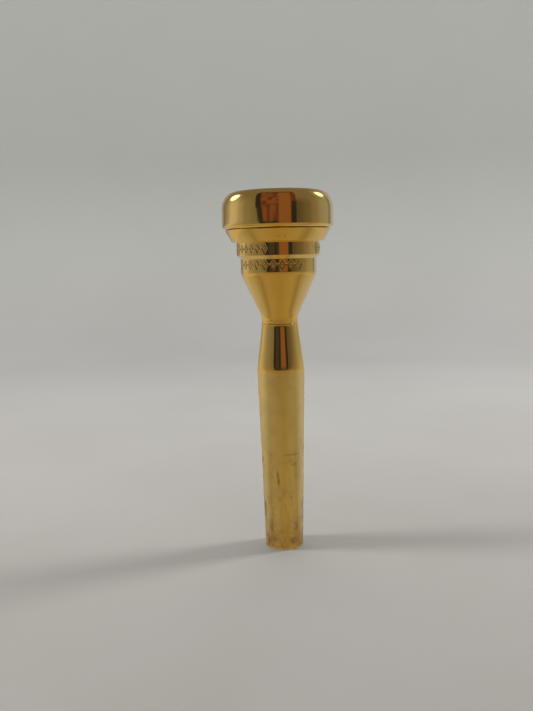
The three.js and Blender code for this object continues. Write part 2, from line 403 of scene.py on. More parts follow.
def make_rim():
    hole = RIM_THREAD["root"] + THREAD_PLAY
    ceiling = STUB_TOP_Z + SEAM_GAP
    lathe = Lathe("rim_ring_gold")
    lathe.rings([(hole + SOCKET_LIP, RIM_FACE_Z)])
    rim_outside(lathe)
    rim_inside(lathe, ceiling)
    lathe.rings([(hole, ceiling)])
    lathe.thread(hole, RIM_THREAD["height"], RIM_THREAD["pitch"], RIM_THREAD["z"],
                 ceiling - SMALL_EDGE, RIM_FACE_Z + SOCKET_LIP)
    return lathe.finish()


def cup_cone(lathe):
    """The cone, with its roundings, from the waist up. Returns the height where band 2 starts."""
    waist = (WAIST_RADIUS, CUP_FOOT_Z)
    foot, top = (WAIST_RADIUS, CONE_FOOT_Z), (BAND_2["r"], BAND_2["bottom"])
    low = rounded(waist, foot, top, CONE_FOOT_ROUNDING, steps=12)
    high = rounded(foot, top, (BAND_2["r"], BAND_2["top"]), CONE_TOP_ROUNDING, steps=10)
    lathe.rings(rounded((0, CUP_FOOT_Z), waist, foot, SEAM_EDGE))
    lathe.rings(low)
    lathe.rings(straight(low[-1], high[0], steps=6))
    lathe.rings(high)
    return high[-1][1]


def cup_bands(lathe, start_z):
    """The two stamped bands with the ledge between them, then the chamfered flange."""
    stamped_band(lathe, BAND_2["r"], start_z, BAND_2["top"], BORDER_2)
    band_2_foot, band_1_top = (BAND_2["r"], BAND_2["bottom"]), (BAND_1["r"], BAND_1["top"])
    ledge = [
        (BAND_2["r"], BAND_2["top"], SMALL_EDGE),
        (BAND_1["r"], BAND_1["bottom"], SMALL_EDGE),
    ]
    lathe.rings(outline(band_2_foot, ledge, band_1_top))
    stamped_band(lathe, BAND_1["r"], BAND_1["bottom"], BAND_1["top"], BORDER_1)
    band_1_foot, stub_foot = (BAND_1["r"], BAND_1["bottom"]), (RIM_THREAD["root"], FLANGE_FACE_Z)
    flange = [
        (*band_1_top, SMALL_EDGE),
        (*FLANGE_FOOT, SMALL_EDGE),
        (FLANGE_RADIUS, FLANGE_FACE_Z, FLANGE_EDGE),
    ]
    lathe.rings([*outline(band_1_foot, flange, stub_foot), stub_foot])


def cup_stub(lathe):
    """The threaded stub on top, then the bowl down to the throat."""
    across, down = STUB_CHAMFER
    lathe.thread(RIM_THREAD["root"], RIM_THREAD["height"], RIM_THREAD["pitch"], RIM_THREAD["z"],
                 RIM_FACE_Z + SOCKET_LIP, STUB_TOP_Z - down)
    mouth = bowl_radius(STUB_TOP_Z)
    lathe.rings([(RIM_THREAD["root"] - across, STUB_TOP_Z), (mouth, STUB_TOP_Z)])
    steps = 20
    for i in range(1, steps + 1):
        r = lerp(THROAT_RADIUS, mouth, math.cos(i / steps * math.pi / 2))
        lathe.ring(r, bowl_height(r))


def cup_socket(lathe, hole):
    """The end of the throat, the rubber ring's groove, and the threaded socket below."""
    half_height = BACKBORE_RING["section"] + RING_PLAY
    groove_radius = BACKBORE_RING["r"] + half_height
    ceiling = NOSE_TOP_Z + SEAM_GAP
    groove_top, groove_foot = BACKBORE_RING["z"] + half_height, BACKBORE_RING["z"] - half_height
    lathe.rings([
        (THROAT_RADIUS, ceiling), (hole, ceiling), (hole, groove_top),
        (groove_radius, groove_top), (groove_radius, groove_foot), (hole, groove_foot),
    ])
    lathe.thread(hole, BACKBORE_THREAD["height"], BACKBORE_THREAD["pitch"], BACKBORE_THREAD["z"],
                 groove_foot - SMALL_EDGE, CUP_FOOT_Z + SOCKET_LIP)


def make_cup():
    hole = BACKBORE_THREAD["root"] + THREAD_PLAY
    lathe = Lathe("cup_gold")
    lathe.rings([(hole + SOCKET_LIP, CUP_FOOT_Z)])
    band_z = cup_cone(lathe)
    cup_bands(lathe, band_z)
    cup_stub(lathe)
    cup_socket(lathe, hole)
    return lathe.finish()


def shank_and_flare(lathe):
    """The tapered shank from its foot, and the flare from the shoulder up to the waist."""
    foot = (SHANK_END_RADIUS, 0)
    shoulder = (shank_radius(SHOULDER_Z), SHOULDER_Z)
    above = SHOULDER_Z + SHOULDER_BLEND
    lathe.rings(rounded((0, 0), foot, shoulder, FOOT_EDGE))
    lathe.rings(curve(shank_radius, SHANK_FIRST_Z, SHOULDER_Z - SHOULDER_BLEND, steps=30))
    lathe.rings(rounded(foot, shoulder, (flare_radius(above), above), FLARE_ROUNDING, steps=8))
    lathe.rings(curve(flare_radius, above, WAIST_Z - 2 * WAIST_BLEND, steps=24))
    neck = (flare_radius(WAIST_Z - WAIST_BLEND), WAIST_Z - WAIST_BLEND)
    below_neck = (flare_radius(neck[1] - 1), neck[1] - 1)
    lathe.rings(rounded(below_neck, neck, (neck[0], WAIST_Z), FLARE_ROUNDING, steps=6))
    lathe.rings([(neck[0], WAIST_Z - SEAM_EDGE), (neck[0] - SEAM_EDGE, WAIST_Z)])


def make_backbore():
    thread_end = BACKBORE_RING["z"] - BACKBORE_RING["section"] - RING_PLAY
    lathe = Lathe("backbore_gold")
    lathe.rings([(BACKBORE_END_RADIUS + FOOT_BORE_EDGE, 0)])
    shank_and_flare(lathe)
    lathe.rings([(BACKBORE_THREAD["root"], WAIST_Z)])
    lathe.thread(BACKBORE_THREAD["root"], BACKBORE_THREAD["height"], BACKBORE_THREAD["pitch"],
                 BACKBORE_THREAD["z"], CUP_FOOT_Z + SOCKET_LIP, thread_end - SMALL_EDGE)
    lathe.rings([(NOSE_RADIUS, thread_end), (NOSE_RADIUS, NOSE_TOP_Z - SMALL_EDGE)])
    lathe.rings([(NOSE_RADIUS - SMALL_EDGE, NOSE_TOP_Z), (THROAT_RADIUS + NOSE_BORE_EDGE, NOSE_TOP_Z)])
    lathe.rings(curve(backbore_radius, NOSE_TOP_Z - NOSE_BORE_EDGE, FOOT_BORE_EDGE, steps=40))
    return lathe.finish()


def make_seal(name, ring):
    """A rubber ring of round section with the fine moulding line round its outside."""
    lathe = Lathe(name)
    sides = 24
    for i in range(sides):
        angle = 2 * math.pi * i / sides
        across = ring["section"] + (FLASH if i == 0 else 0.0)
        lathe.ring(ring["r"] + across * math.cos(angle), ring["z"] + ring["section"] * math.sin(angle))
    return lathe.finish()


# ---- Materials --------------------------------------------------------------------------------------


class Shader:
    """Short calls for building one material's nodes. Sizes are in millimetres, and place in metres."""

    def __init__(self, name):
        self.material = bpy.data.materials.new(name)
        self.material.use_nodes = True
        self.nodes = self.material.node_tree.nodes
        self.links = self.material.node_tree.links
        self.bsdf = self.nodes["Principled BSDF"]
        self.place = self.nodes.new("ShaderNodeTexCoord").outputs["Object"]

    def wire(self, value, socket):
        if isinstance(value, bpy.types.NodeSocket):
            self.links.new(value, socket)
        else:
            socket.default_value = value

    def math(self, operation, a, b=0.0, c=0.0, clamp=False):
        node = self.nodes.new("ShaderNodeMath")
        node.operation = operation
        node.use_clamp = clamp
        for value, socket in zip((a, b, c), node.inputs):
            self.wire(value, socket)
        return node.outputs[0]

    def vector(self, operation, a, b=(0, 0, 0)):
        node = self.nodes.new("ShaderNodeVectorMath")
        node.operation = operation
        self.wire(a, node.inputs[0])
        self.wire(b, node.inputs[1])
        return node.outputs[0]

    def split(self, vector):
        node = self.nodes.new("ShaderNodeSeparateXYZ")
        self.links.new(vector, node.inputs[0])
        return tuple(node.outputs)

    def scaled(self, x, y, z):
        node = self.nodes.new("ShaderNodeMapping")
        self.links.new(self.place, node.inputs["Vector"])
        node.inputs["Scale"].default_value = (x / MM, y / MM, z / MM)
        return node.outputs[0]

    def noise(self, scale, detail=3.0, roughness=0.5, distortion=0.0, stretch=(1, 1, 1)):
        node = self.nodes.new("ShaderNodeTexNoise")
        self.links.new(self.scaled(*(scale * s for s in stretch)), node.inputs["Vector"])
        node.inputs["Scale"].default_value = 1.0
        node.inputs["Detail"].default_value = detail
        node.inputs["Roughness"].default_value = roughness
        node.inputs["Distortion"].default_value = distortion
        return node.outputs["Fac"]

    def height(self):
        """Height above the shank end, in millimetres."""
        return self.math("DIVIDE", self.split(self.place)[2], MM)

    def span(self, value, low, high, from_value=0.0, to_value=1.0):
        """Goes smoothly from one value to another as the input goes from low to high."""
        node = self.nodes.new("ShaderNodeMapRange")
        node.interpolation_type = "SMOOTHSTEP"
        for value_in, name in ((value, "Value"), (low, "From Min"), (high, "From Max"),
                               (from_value, "To Min"), (to_value, "To Max")):
            self.wire(value_in, node.inputs[name])
        return node.outputs["Result"]

    def span_line(self, value, low, high, from_value, to_value):
        """The same in a straight line, kept within its two ends."""
        result = self.span(value, low, high, from_value, to_value)
        result.node.interpolation_type = "LINEAR"
        return result

    def mix(self, factor, a, b):
        node = self.nodes.new("ShaderNodeMix")
        node.data_type = "RGBA"
        self.wire(factor, node.inputs["Factor"])
        self.wire(a, node.inputs["A"])
        self.wire(b, node.inputs["B"])
        return node.outputs["Result"]

    def spot(self, centre, radius, softness, stretch=(1, 1, 1)):
        """1 at a point of the surface, fading to 0 past its radius."""
        node = self.nodes.new("ShaderNodeMapping")
        self.links.new(self.place, node.inputs["Vector"])
        node.inputs["Scale"].default_value = tuple(s / MM for s in stretch)
        node.inputs["Location"].default_value = tuple(-c * s for c, s in zip(centre, stretch))
        length = self.nodes.new("ShaderNodeVectorMath")
        length.operation = "LENGTH"
        self.links.new(node.outputs[0], length.inputs[0])
        return self.span(length.outputs["Value"], radius, radius + softness, 1.0, 0.0)

    def greatest(self, values):
        result = values[0]
        for value in values[1:]:
            result = self.math("MAXIMUM", result, value)
        return result

    def attribute(self, name):
        node = self.nodes.new("ShaderNodeAttribute")
        node.attribute_name = name
        return node.outputs["Fac"]

    def bump(self, height, distance, strength=1.0, normal=None):
        node = self.nodes.new("ShaderNodeBump")
        node.inputs["Strength"].default_value = strength
        node.inputs["Distance"].default_value = distance * MM
        self.links.new(height, node.inputs["Height"])
        if normal is not None:
            self.links.new(normal, node.inputs["Normal"])
        return node.outputs["Normal"]


GOLD = (0.94, 0.61, 0.16, 1)
GOLD_DEEP = (0.91, 0.575, 0.14, 1)
GOLD_SHEEN = (0.98, 0.89, 0.72, 1)      # at a grazing angle, on the backbore
SATIN = (0.95, 0.71, 0.285, 1)          # the shank's gold, in three tones
SATIN_STREAK = (0.92, 0.67, 0.255, 1)
SATIN_CLOUD = (0.82, 0.575, 0.21, 1)
SEATED_GOLD = (0.97, 0.70, 0.26, 1)     # where the instrument's receiver has rubbed it
# darker towards the foot: partly stains, partly painted shade where less light reaches near the floor
FOOT_GOLD_STAIN_AND_PAINTED_SHADE = (0.84, 0.56, 0.20, 1)
PALE_FOOT_EDGE = (0.95, 0.76, 0.40, 1)       # paler along the rounded edge that it stands on
GRIME = (0.17, 0.115, 0.06, 1)
OLIVE_TARNISH = (0.34, 0.215, 0.08, 1)
PLUM_TARNISH = (0.31, 0.185, 0.13, 1)
RUBBER = (0.012, 0.012, 0.013, 1)
RUBBER_DUSTY = (0.03, 0.03, 0.031, 1)

CHAMFER_PITS = [(-1.0, 0.06, 0.18), (6.5, 0.05, 0.16)]   # degrees from the front, radius, softness
CHAMFER_PIT_PLACE = (77.55, 11.8)                        # height, and the chamfer's radius there
WAIST_SPOT = (-27.0, 57.75, 4.48)                        # degrees from the front, height, radius

WEAR_LINE_Z = 24.6            # where the instrument's receiver ends on the seated shank

# The separate stains: degrees from the front, height, radius, softness, squeeze of each axis, strength.
# An axis that is squeezed by less than 1 makes the stain longer that way.
SHANK_MARKS = [
    (-16.0, 19.4, 0.02, 0.46, (1, 1, 0.22), 1.0), (-14.0, 17.9, 0.06, 0.55, (1, 1, 0.4), 1.0),
    (-72.0, 22.8, 0.20, 0.60, (1, 1, 0.7), 0.8), (20.0, 13.7, 0.05, 0.40, (1, 1, 1), 0.7),
    (19.0, 23.1, 0.25, 0.90, (1, 1, 1), 0.42), (30.0, 22.1, 0.25, 1.00, (1, 1, 1.3), 0.55),
    (164.0, 15.0, 0.05, 0.50, (1, 1, 0.4), 0.7), (204.0, 21.2, 0.05, 0.70, (1, 1, 0.8), 0.5),
]
FOOT_STAINS = [
    (-30.0, 2.6, 0.10, 1.2, (1, 1, 0.9), 1.0), (-62.0, 2.4, 0.50, 1.2, (1, 1, 0.7), 1.0),
    (-90.0, 4.0, 0.50, 2.2, (1, 1, 0.7), 1.0), (80.0, 3.0, 0.60, 1.8, (1, 1, 0.7), 1.0),
    (-82.0, 9.5, 0.60, 2.0, (1, 1, 0.35), 1.0), (76.0, 9.0, 0.40, 1.8, (1, 1, 0.35), 1.0),
    (151.0, 2.8, 0.30, 1.5, (1, 1, 0.8), 1.0), (216.0, 5.2, 0.10, 1.4, (1, 1, 0.6), 1.0),
    (31.0, 2.3, 0.30, 1.3, (0.8, 1, 1), 1.0), (36.0, 5.9, 0.05, 1.2, (1, 1, 0.42), 0.75),
    (-42.0, 6.3, 0.05, 1.2, (1, 1, 0.38), 0.75), (-66.0, 10.5, 0.05, 1.2, (1, 1, 0.45), 1.0),
]


def surface_point(from_front, z, radius):
    """The point of a turned surface at an angle in degrees from the front, in millimetres."""
    angle = math.radians(from_front)
    return radius * math.sin(angle), -radius * math.cos(angle), z


def turning_lines(s):
    """The fine rings that the lathe's tool leaves."""
    return s.noise(1.0, 2, 0.5, stretch=(0.25, 0.25, 26))


def plate_tone(s, clouds):
    return s.mix(s.span(clouds, 0.35, 0.7), GOLD, GOLD_DEEP)


def chamfer_pits(s):
    z, chamfer_radius = CHAMFER_PIT_PLACE
    return s.greatest([s.spot(surface_point(from_front, z, chamfer_radius), radius, softness)
                       for from_front, radius, softness in CHAMFER_PITS])


def polished_gold():
    """Nearly a mirror, with a breath of haze, hairlines, and grime in the stamped border."""
    s = Shader("polished_gold_plate")
    turning = turning_lines(s)
    smear = s.noise(0.45, 5, 0.6, distortion=1.2, stretch=(1, 1, 0.6))
    scratch = s.noise(1.0, 1, 0.4, stretch=(9, 1.2, 0.5))
    pits = chamfer_pits(s)
    waist_spot = s.spot(surface_point(*WAIST_SPOT), 0.05, 0.30)
    grime = s.math("MULTIPLY", s.attribute("grime"), 0.72)
    stains = s.greatest([grime, s.math("MULTIPLY", pits, 0.8), s.math("MULTIPLY", waist_spot, 0.6)])
    tone = s.mix(stains, plate_tone(s, s.noise(0.16, 4, 0.55)), GRIME)
    s.wire(tone, s.bsdf.inputs["Base Color"])
    s.bsdf.inputs["Metallic"].default_value = 1.0
    haze = s.span(smear, 0.42, 0.75, 0.055, 0.13)
    lines = s.span(turning, 0.3, 0.8, -0.015, 0.03)
    rough = s.math("ADD", s.math("ADD", haze, lines), s.math("MULTIPLY", grime, 0.3), clamp=True)
    s.wire(rough, s.bsdf.inputs["Roughness"])
    normal = s.bump(turning, 0.0012, 0.8)
    normal = s.bump(scratch, 0.0008, 0.5, normal)
    s.wire(s.bump(pits, -0.05, 1.0, normal), s.bsdf.inputs["Normal"])
    return s.material


def separate_stains(s, places):
    """The strongest of several small stains of the shank."""
    stains = []
    for from_front, z, radius, softness, squeeze, strength in places:
        spot = s.spot(surface_point(from_front, z, shank_radius(z)), radius, softness, squeeze)
        stains.append(s.math("MULTIPLY", spot, strength))
    return s.greatest(stains)


def wear_line(s, z, clouds):
    """The faint ring where the receiver ends, clearest a little right of the front."""
    off_line = s.math("ABSOLUTE", s.math("SUBTRACT", z, WEAR_LINE_Z))
    clearest = s.spot(surface_point(24.0, WEAR_LINE_Z, shank_radius(WEAR_LINE_Z)), 1.2, 1.8)
    strength = s.math("MAXIMUM", clearest, s.span(clouds, 0.5, 0.7, 0.05, 0.7))
    return s.math("MULTIPLY", s.span(off_line, 0.05, 0.55, 1.0, 0.0), strength)


def satin_tone(s, clouds, streaks, seated, foot):
    """The shank's colour before its stains, darker towards the foot, partly stained and partly painted
    shade.
    """
    tone = s.mix(s.span(streaks, 0.3, 0.75), SATIN, SATIN_STREAK)
    tone = s.mix(s.span(clouds, 0.4, 0.7, 0.0, 0.6), tone, SATIN_CLOUD)
    tone = s.mix(seated, tone, SEATED_GOLD)
    return s.mix(foot, tone, FOOT_GOLD_STAIN_AND_PAINTED_SHADE)


def plum_stains(s, streaks, seated, foot):
    """Streaks below the wear line, and freckles and separate stains towards the foot."""
    freckles = s.noise(0.9, 4, 0.62, distortion=0.6, stretch=(1, 1, 0.8))
    streaked = s.math("MULTIPLY", seated, s.span(streaks, 0.44, 0.76, 0.0, 0.18))
    freckled = s.math("MULTIPLY", foot, s.span(freckles, 0.44, 0.68, 0.04, 0.5))
    separate = s.math("MULTIPLY", separate_stains(s, FOOT_STAINS), s.span(freckles, 0.32, 0.6, 0.2, 0.8))
    return s.greatest([streaked, freckled, separate])


def worn_gold():
    """Bright on the flare; satin on the shank, stained below the wear line and most at the foot, with
    painted shade there too.
    """
    s = Shader("worn_gold_plate")
    z = s.height()
    clouds = s.noise(0.22, 5, 0.6)
    blotches = s.noise(0.5, 6, 0.65, distortion=0.8, stretch=(1, 1, 0.55))
    speckle = s.noise(3.2, 4, 0.6)
    streaks = s.noise(1.0, 2, 0.5, distortion=0.4, stretch=(0.9, 0.9, 0.12))

    uneven_z = s.math("ADD", z, s.math("MULTIPLY", blotches, 1.6))
    shank = s.span(uneven_z, SHOULDER_Z + 1.1, SHOULDER_Z - 0.2)
    seated = s.span(uneven_z, WEAR_LINE_Z + 1.6, WEAR_LINE_Z - 0.6)
    # towards the foot, for its stains and its painted shade
    foot = s.span(z, 11.0, 0.5)
    marks = s.math("MULTIPLY", separate_stains(s, SHANK_MARKS), s.span(speckle, 0.3, 0.6, 0.6, 0.95))
    olive_stains = s.greatest([
        s.math("MULTIPLY", seated, s.span(blotches, 0.45, 0.8, 0.05, 0.30)),
        s.math("MULTIPLY", wear_line(s, z, clouds), 0.32),
        s.math("MULTIPLY", marks, 0.8),
    ])

    tone = s.mix(shank, plate_tone(s, clouds), satin_tone(s, clouds, streaks, seated, foot))
    tone = s.mix(olive_stains, tone, OLIVE_TARNISH)
    tone = s.mix(plum_stains(s, streaks, seated, foot), tone, PLUM_TARNISH)
    tone = s.mix(s.span(z, 0.55, 0.2, 0.0, 0.7), tone, PALE_FOOT_EDGE)
    s.wire(tone, s.bsdf.inputs["Base Color"])
    s.bsdf.inputs["Metallic"].default_value = 1.0
    s.bsdf.inputs["Specular Tint"].default_value = GOLD_SHEEN
    worn_surface(s, shank, marks, blotches, speckle, streaks)
    return s.material


def worn_surface(s, shank, marks, blotches, speckle, streaks):
    """The backbore's roughness and relief: turned lines all over, and satin on the shank."""
    turning = turning_lines(s)
    satin = s.span(blotches, 0.3, 0.75, 0.29, 0.40)
    mirror = s.span(turning, 0.3, 0.8, 0.05, 0.1)
    rough = s.math("MULTIPLY_ADD", shank, s.math("SUBTRACT", satin, mirror), mirror)
    s.wire(s.math("ADD", rough, s.math("MULTIPLY", marks, 0.15)), s.bsdf.inputs["Roughness"])
    normal = s.bump(turning, 0.0012, 0.8)
    normal = s.bump(s.math("MULTIPLY", shank, speckle), 0.006, 0.5, normal)
    normal = s.bump(s.math("MULTIPLY", shank, streaks), 0.004, 0.4, normal)
    s.wire(normal, s.bsdf.inputs["Normal"])


def seal_rubber():
    s = Shader("black_nitrile_rubber")
    grain = s.noise(6.0, 4, 0.6)
    s.wire(s.mix(grain, RUBBER, RUBBER_DUSTY), s.bsdf.inputs["Base Color"])
    s.wire(s.span(grain, 0.3, 0.7, 0.5, 0.72), s.bsdf.inputs["Roughness"])
    s.wire(s.bump(grain, 0.01, 0.5), s.bsdf.inputs["Normal"])
    return s.material


# ---- The floor and the backdrop, in metres ----------------------------------------------------------

FLOOR_RADIUS = 0.34
COVE_RADIUS = 0.16
COVE_STEPS = 16
WALL_TOP = 0.85
# Painted shade: the floor's tone goes from darker in front to lighter behind, for light falling off towards
# the camera.
CLOTH_NEAR_PAINTED_SHADE = (0.400, 0.376, 0.345, 1)
CLOTH_FAR_PAINTED_LIGHT = (0.485, 0.470, 0.442, 1)
CLOTH_WALL = (0.535, 0.535, 0.495, 1)
CLOTH_PALE = (0.60, 0.59, 0.57, 1)      # its large soft patches


def revolved(name, profile, columns=96):
    """An open surface of revolution through (radius, height), in metres. A radius of 0 is one point."""
    points, faces, rows = [], [], []
    for r, z in profile:
        count = 1 if r == 0 else columns
        rows.append([len(points) + i for i in range(count)])
        for i in range(count):
            angle = 2 * math.pi * i / columns
            points.append((r * math.cos(angle), r * math.sin(angle), z))
    for low, high in zip(rows, rows[1:]):
        for i in range(columns):
            corners = [low[i % len(low)], low[(i + 1) % len(low)],
                       high[(i + 1) % len(high)], high[i % len(high)]]
            faces.append([p for k, p in enumerate(corners) if p != corners[k - 1]])
    mesh = bpy.data.meshes.new(name)
    mesh.from_pydata(points, [], faces)
    mesh.polygons.foreach_set("use_smooth", [True] * len(mesh.polygons))
    made = bpy.data.objects.new(name, mesh)
    bpy.context.scene.collection.objects.link(made)
    return made


def cloth_material():
    s = Shader("pale_studio_cloth")
    soft = s.noise(0.012, 3, 0.5)
    weave = s.noise(1.6, 2, 0.5)
    behind = s.math("DIVIDE", s.split(s.place)[1], MM)
    # painted shade, darker in front and lighter behind
    tone = s.mix(s.span(behind, -110.0, 260.0), CLOTH_NEAR_PAINTED_SHADE, CLOTH_FAR_PAINTED_LIGHT)
    tone = s.mix(s.span(s.height(), 2.0, 90.0), tone, CLOTH_WALL)
    tone = s.mix(s.span(soft, 0.3, 0.7, 0.0, 0.16), tone, CLOTH_PALE)
    s.wire(tone, s.bsdf.inputs["Base Color"])
    s.bsdf.inputs["Roughness"].default_value = 0.95
    s.bsdf.inputs["Specular IOR Level"].default_value = 0.1
    s.wire(s.bump(weave, 0.05, 0.3), s.bsdf.inputs["Normal"])
    return s.material


def hide_from(made, *rays):
    """Hides an object from some kinds of ray."""
    for ray in rays:
        setattr(made, "visible_" + ray, False)


def make_cloth():
    """The floor and the coved backdrop."""
    cloth = cloth_material()
    floor = revolved("floor", [(r, 0) for r in (0, 0.05, 0.15, FLOOR_RADIUS)])
    floor.data.materials.append(cloth)
    hide_from(floor, "glossy")
    angles = [math.pi / 2 * i / COVE_STEPS for i in range(COVE_STEPS + 1)]
    bend = [(FLOOR_RADIUS + COVE_RADIUS * math.sin(a), COVE_RADIUS * (1 - math.cos(a))) for a in angles]
    backdrop = revolved("backdrop", [*bend, (FLOOR_RADIUS + COVE_RADIUS, WALL_TOP)])
    backdrop.data.materials.append(cloth)
    hide_from(backdrop, "glossy", "diffuse", "shadow")


# ---- The light tent, which only reflections see, in millimetres and degrees ---------------------------

TENT_RADIUS = 190.0
TENT_CENTRE_Z = 70.0
TENT_STEPS = 40
BENCH_TOP_Z = 48.0            # the bench's paper reaches this far up the tent's wall

# Glow of the wall, level with the mouthpiece, by azimuth from the front: (azimuth, colour).
WALL_GLOW = [
    (-180, (0.40, 0.42, 0.46)), (-150, (0.32, 0.33, 0.34)), (-134, (0.19, 0.19, 0.20)),
    (-120, (0.32, 0.34, 0.40)), (-104, (0.56, 0.61, 0.76)), (-92, (0.52, 0.55, 0.68)),
    (-80, (0.36, 0.37, 0.42)), (-66, (0.24, 0.24, 0.26)), (-44, (0.19, 0.19, 0.18)),
    (40, (0.10, 0.09, 0.09)), (60, (0.145, 0.135, 0.125)), (78, (0.22, 0.21, 0.22)),
    (100, (0.30, 0.32, 0.42)), (116, (0.31, 0.36, 0.47)), (127, (0.20, 0.22, 0.27)),
    (138, (0.41, 0.47, 0.58)), (180, (0.40, 0.42, 0.46)),
]
# And glow of the paper on the bench below it.
PAPER_GLOW = [
    (-180, (0.46, 0.49, 0.56)), (-125, (0.45, 0.46, 0.50)), (-103, (0.42, 0.42, 0.42)),
    (-86, (0.35, 0.33, 0.28)), (-71, (0.29, 0.25, 0.18)), (-52, (0.36, 0.31, 0.22)),
    (0, (0.335, 0.27, 0.14)), (52, (0.36, 0.315, 0.20)), (75, (0.28, 0.245, 0.17)),
    (92, (0.38, 0.36, 0.36)), (108, (0.43, 0.45, 0.52)), (130, (0.45, 0.48, 0.60)),
    (180, (0.46, 0.49, 0.56)),
]
CEILING_GLOW = (0.18, 0.175, 0.18, 1)
PAPER_SHADE = (0.05, 0.04, 0.03, 1)     # what the paper in front darkens towards, farther out
SHEET_GLOW = (0.60, 0.54, 0.42, 1)      # a brighter sheet on each side, at the edge of the bench
LAMP_GLOW = (4.2, 4.3, 4.8, 1)
PANEL_LEAN = 18.0                       # azimuth that the left panel leans back at its foot
# Azimuths where each sheet starts, is full, starts to fade and ends, and its strength.
LEFT_SHEET = (-48.0, -105.0, -126.0, -152.0, 1.0)
RIGHT_SHEET = (45.0, 95.0, 120.0, 150.0, 0.5)
LEFT_GLINT = (-116, 183, 15)            # azimuth, height and radius of each small lamp
RIGHT_GLINT = (119, 191, 9)

# The opening in front. Across and tilt are the sideways and upward angles of the gold that shows it.
OPENING_SHOWN_Z = 85.0        # height of that gold
OPENING_LEFT = -21.0          # at OPENING_LEVEL_Z
OPENING_LEVEL_Z = 93.0
OPENING_LEAN = 0.25           # how much further out the left side is for each mm up
OPENING_LEAN_Z = (84.0, 98.0)           # it leans between these heights
OPENING_FRAME = 5.5
OPENING_RIGHT = 18.2
OPENING_TOP = 40.0
OPENING_CORNER = 5.0
OPENING_CORNER_LEAN = 0.4     # a top corner is this much narrower than it is tall
OPENING_FOOT = 16.0           # height in mm over which it narrows at the bottom
PLANK_SIDES = (0.0, 12.0)
SLAT_SIDES = (-5.5, -1.5)     # a darker slat in the wood
FRAME_DARK = (0.026, 0.028, 0.042, 1)
LOW_UMBER = (0.052, 0.046, 0.066, 1)
WOOD = (0.20, 0.085, 0.066, 1)
WOOD_DEEP = (0.115, 0.045, 0.045, 1)
PLANK = (0.225, 0.112, 0.068, 1)


def azimuth_ramp(s, azimuth, stops):
    """A colour that changes smoothly round the tent, through stops of (azimuth, colour)."""
    ramp = s.nodes.new("ShaderNodeValToRGB")
    s.links.new(s.math("DIVIDE", s.math("ADD", azimuth, 180.0), 360.0), ramp.inputs["Fac"])
    ramp.color_ramp.interpolation = "EASE"
    while len(ramp.color_ramp.elements) < len(stops):
        ramp.color_ramp.elements.new(0.5)
    for element, (angle, colour) in zip(ramp.color_ramp.elements, stops):
        element.position = (angle + 180) / 360
        element.color = (*colour, 1)
    return ramp.outputs["Color"]


def azimuth_of(s, x, y):
    """The angle round from the front, positive towards +X."""
    return s.math("DEGREES", s.math("ARCTAN2", x, s.math("MULTIPLY", y, -1.0)))


def facing_angles(s):
    """For a point of the tent, the azimuth and tilt that a polished face needs to show it to the front."""
    away = s.vector("NORMALIZE", s.vector("SUBTRACT", s.place, (0, 0, OPENING_SHOWN_Z * MM)))
    facing = s.vector("NORMALIZE", s.vector("ADD", away, (0, -1, 0)))
    x, y, z = s.split(facing)
    return azimuth_of(s, x, y), s.math("DEGREES", s.math("ARCSINE", z))


def glint(s, azimuth, height, radius):
    """A small soft-edged lamp shining through the tent's wall."""
    reach = math.sqrt(TENT_RADIUS ** 2 - (height - TENT_CENTRE_Z) ** 2)
    place = surface_point(azimuth, height, reach)
    halo = s.math("MULTIPLY", s.spot(place, 5.0, 60.0), 0.06)
    return s.math("MAXIMUM", s.spot(place, radius, 26.0), halo)


def wall_glow(s, azimuth, z):
    """Brighter on the left, where a panel leans back at its foot, and dim overhead."""
    on_left = s.span(azimuth, -60.0, -100.0, 0.0, PANEL_LEAN)
    leaning = s.math("MULTIPLY_ADD", on_left, s.span_line(z, 93.0, 73.0, 0.0, 1.0), azimuth)
    return s.mix(s.span(z, 120.0, 225.0), azimuth_ramp(s, leaning, WALL_GLOW), CEILING_GLOW)


def sheet_extent(s, azimuth, start, full, fading, end, strength):
    extent = s.math("MULTIPLY", s.span(azimuth, start, full), s.span(azimuth, end, fading))
    return s.math("MULTIPLY", extent, strength)


def bench_glow(s, azimuth, out, z):
    """The paper on the bench, shaded far out in front, and the brighter sheets beside it."""
    farther = s.math("ADD", s.span(out, 80.0, 180.0, 0.0, 0.08), s.span_line(z, 0.0, 46.0, 0.0, 0.17))
    in_front = s.span(s.math("ABSOLUTE", azimuth), 70.0, 30.0)
    paper = s.mix(s.math("MULTIPLY", farther, in_front), azimuth_ramp(s, azimuth, PAPER_GLOW), PAPER_SHADE)
    sheets = s.greatest([sheet_extent(s, azimuth, *sheet) for sheet in (LEFT_SHEET, RIGHT_SHEET)])
    at_edge = s.math("MULTIPLY", s.span(out, 138.0, 170.0, 0.0, 0.75), s.span(z, 47.0, 36.0))
    return s.mix(s.math("MULTIPLY", sheets, at_edge), paper, SHEET_GLOW)


def bench_extent(s, azimuth, z):
    """1 on the bench and 0 on the wall, with a sharp edge in front and a soft one beside and behind."""
    fade = s.span(s.math("ABSOLUTE", azimuth), 44.0, 80.0, 4.0, 34.0)
    above = s.math("SUBTRACT", z, BENCH_TOP_Z)
    return s.span(above, s.math("MULTIPLY", fade, -1.0), fade, 1.0, 0.0)


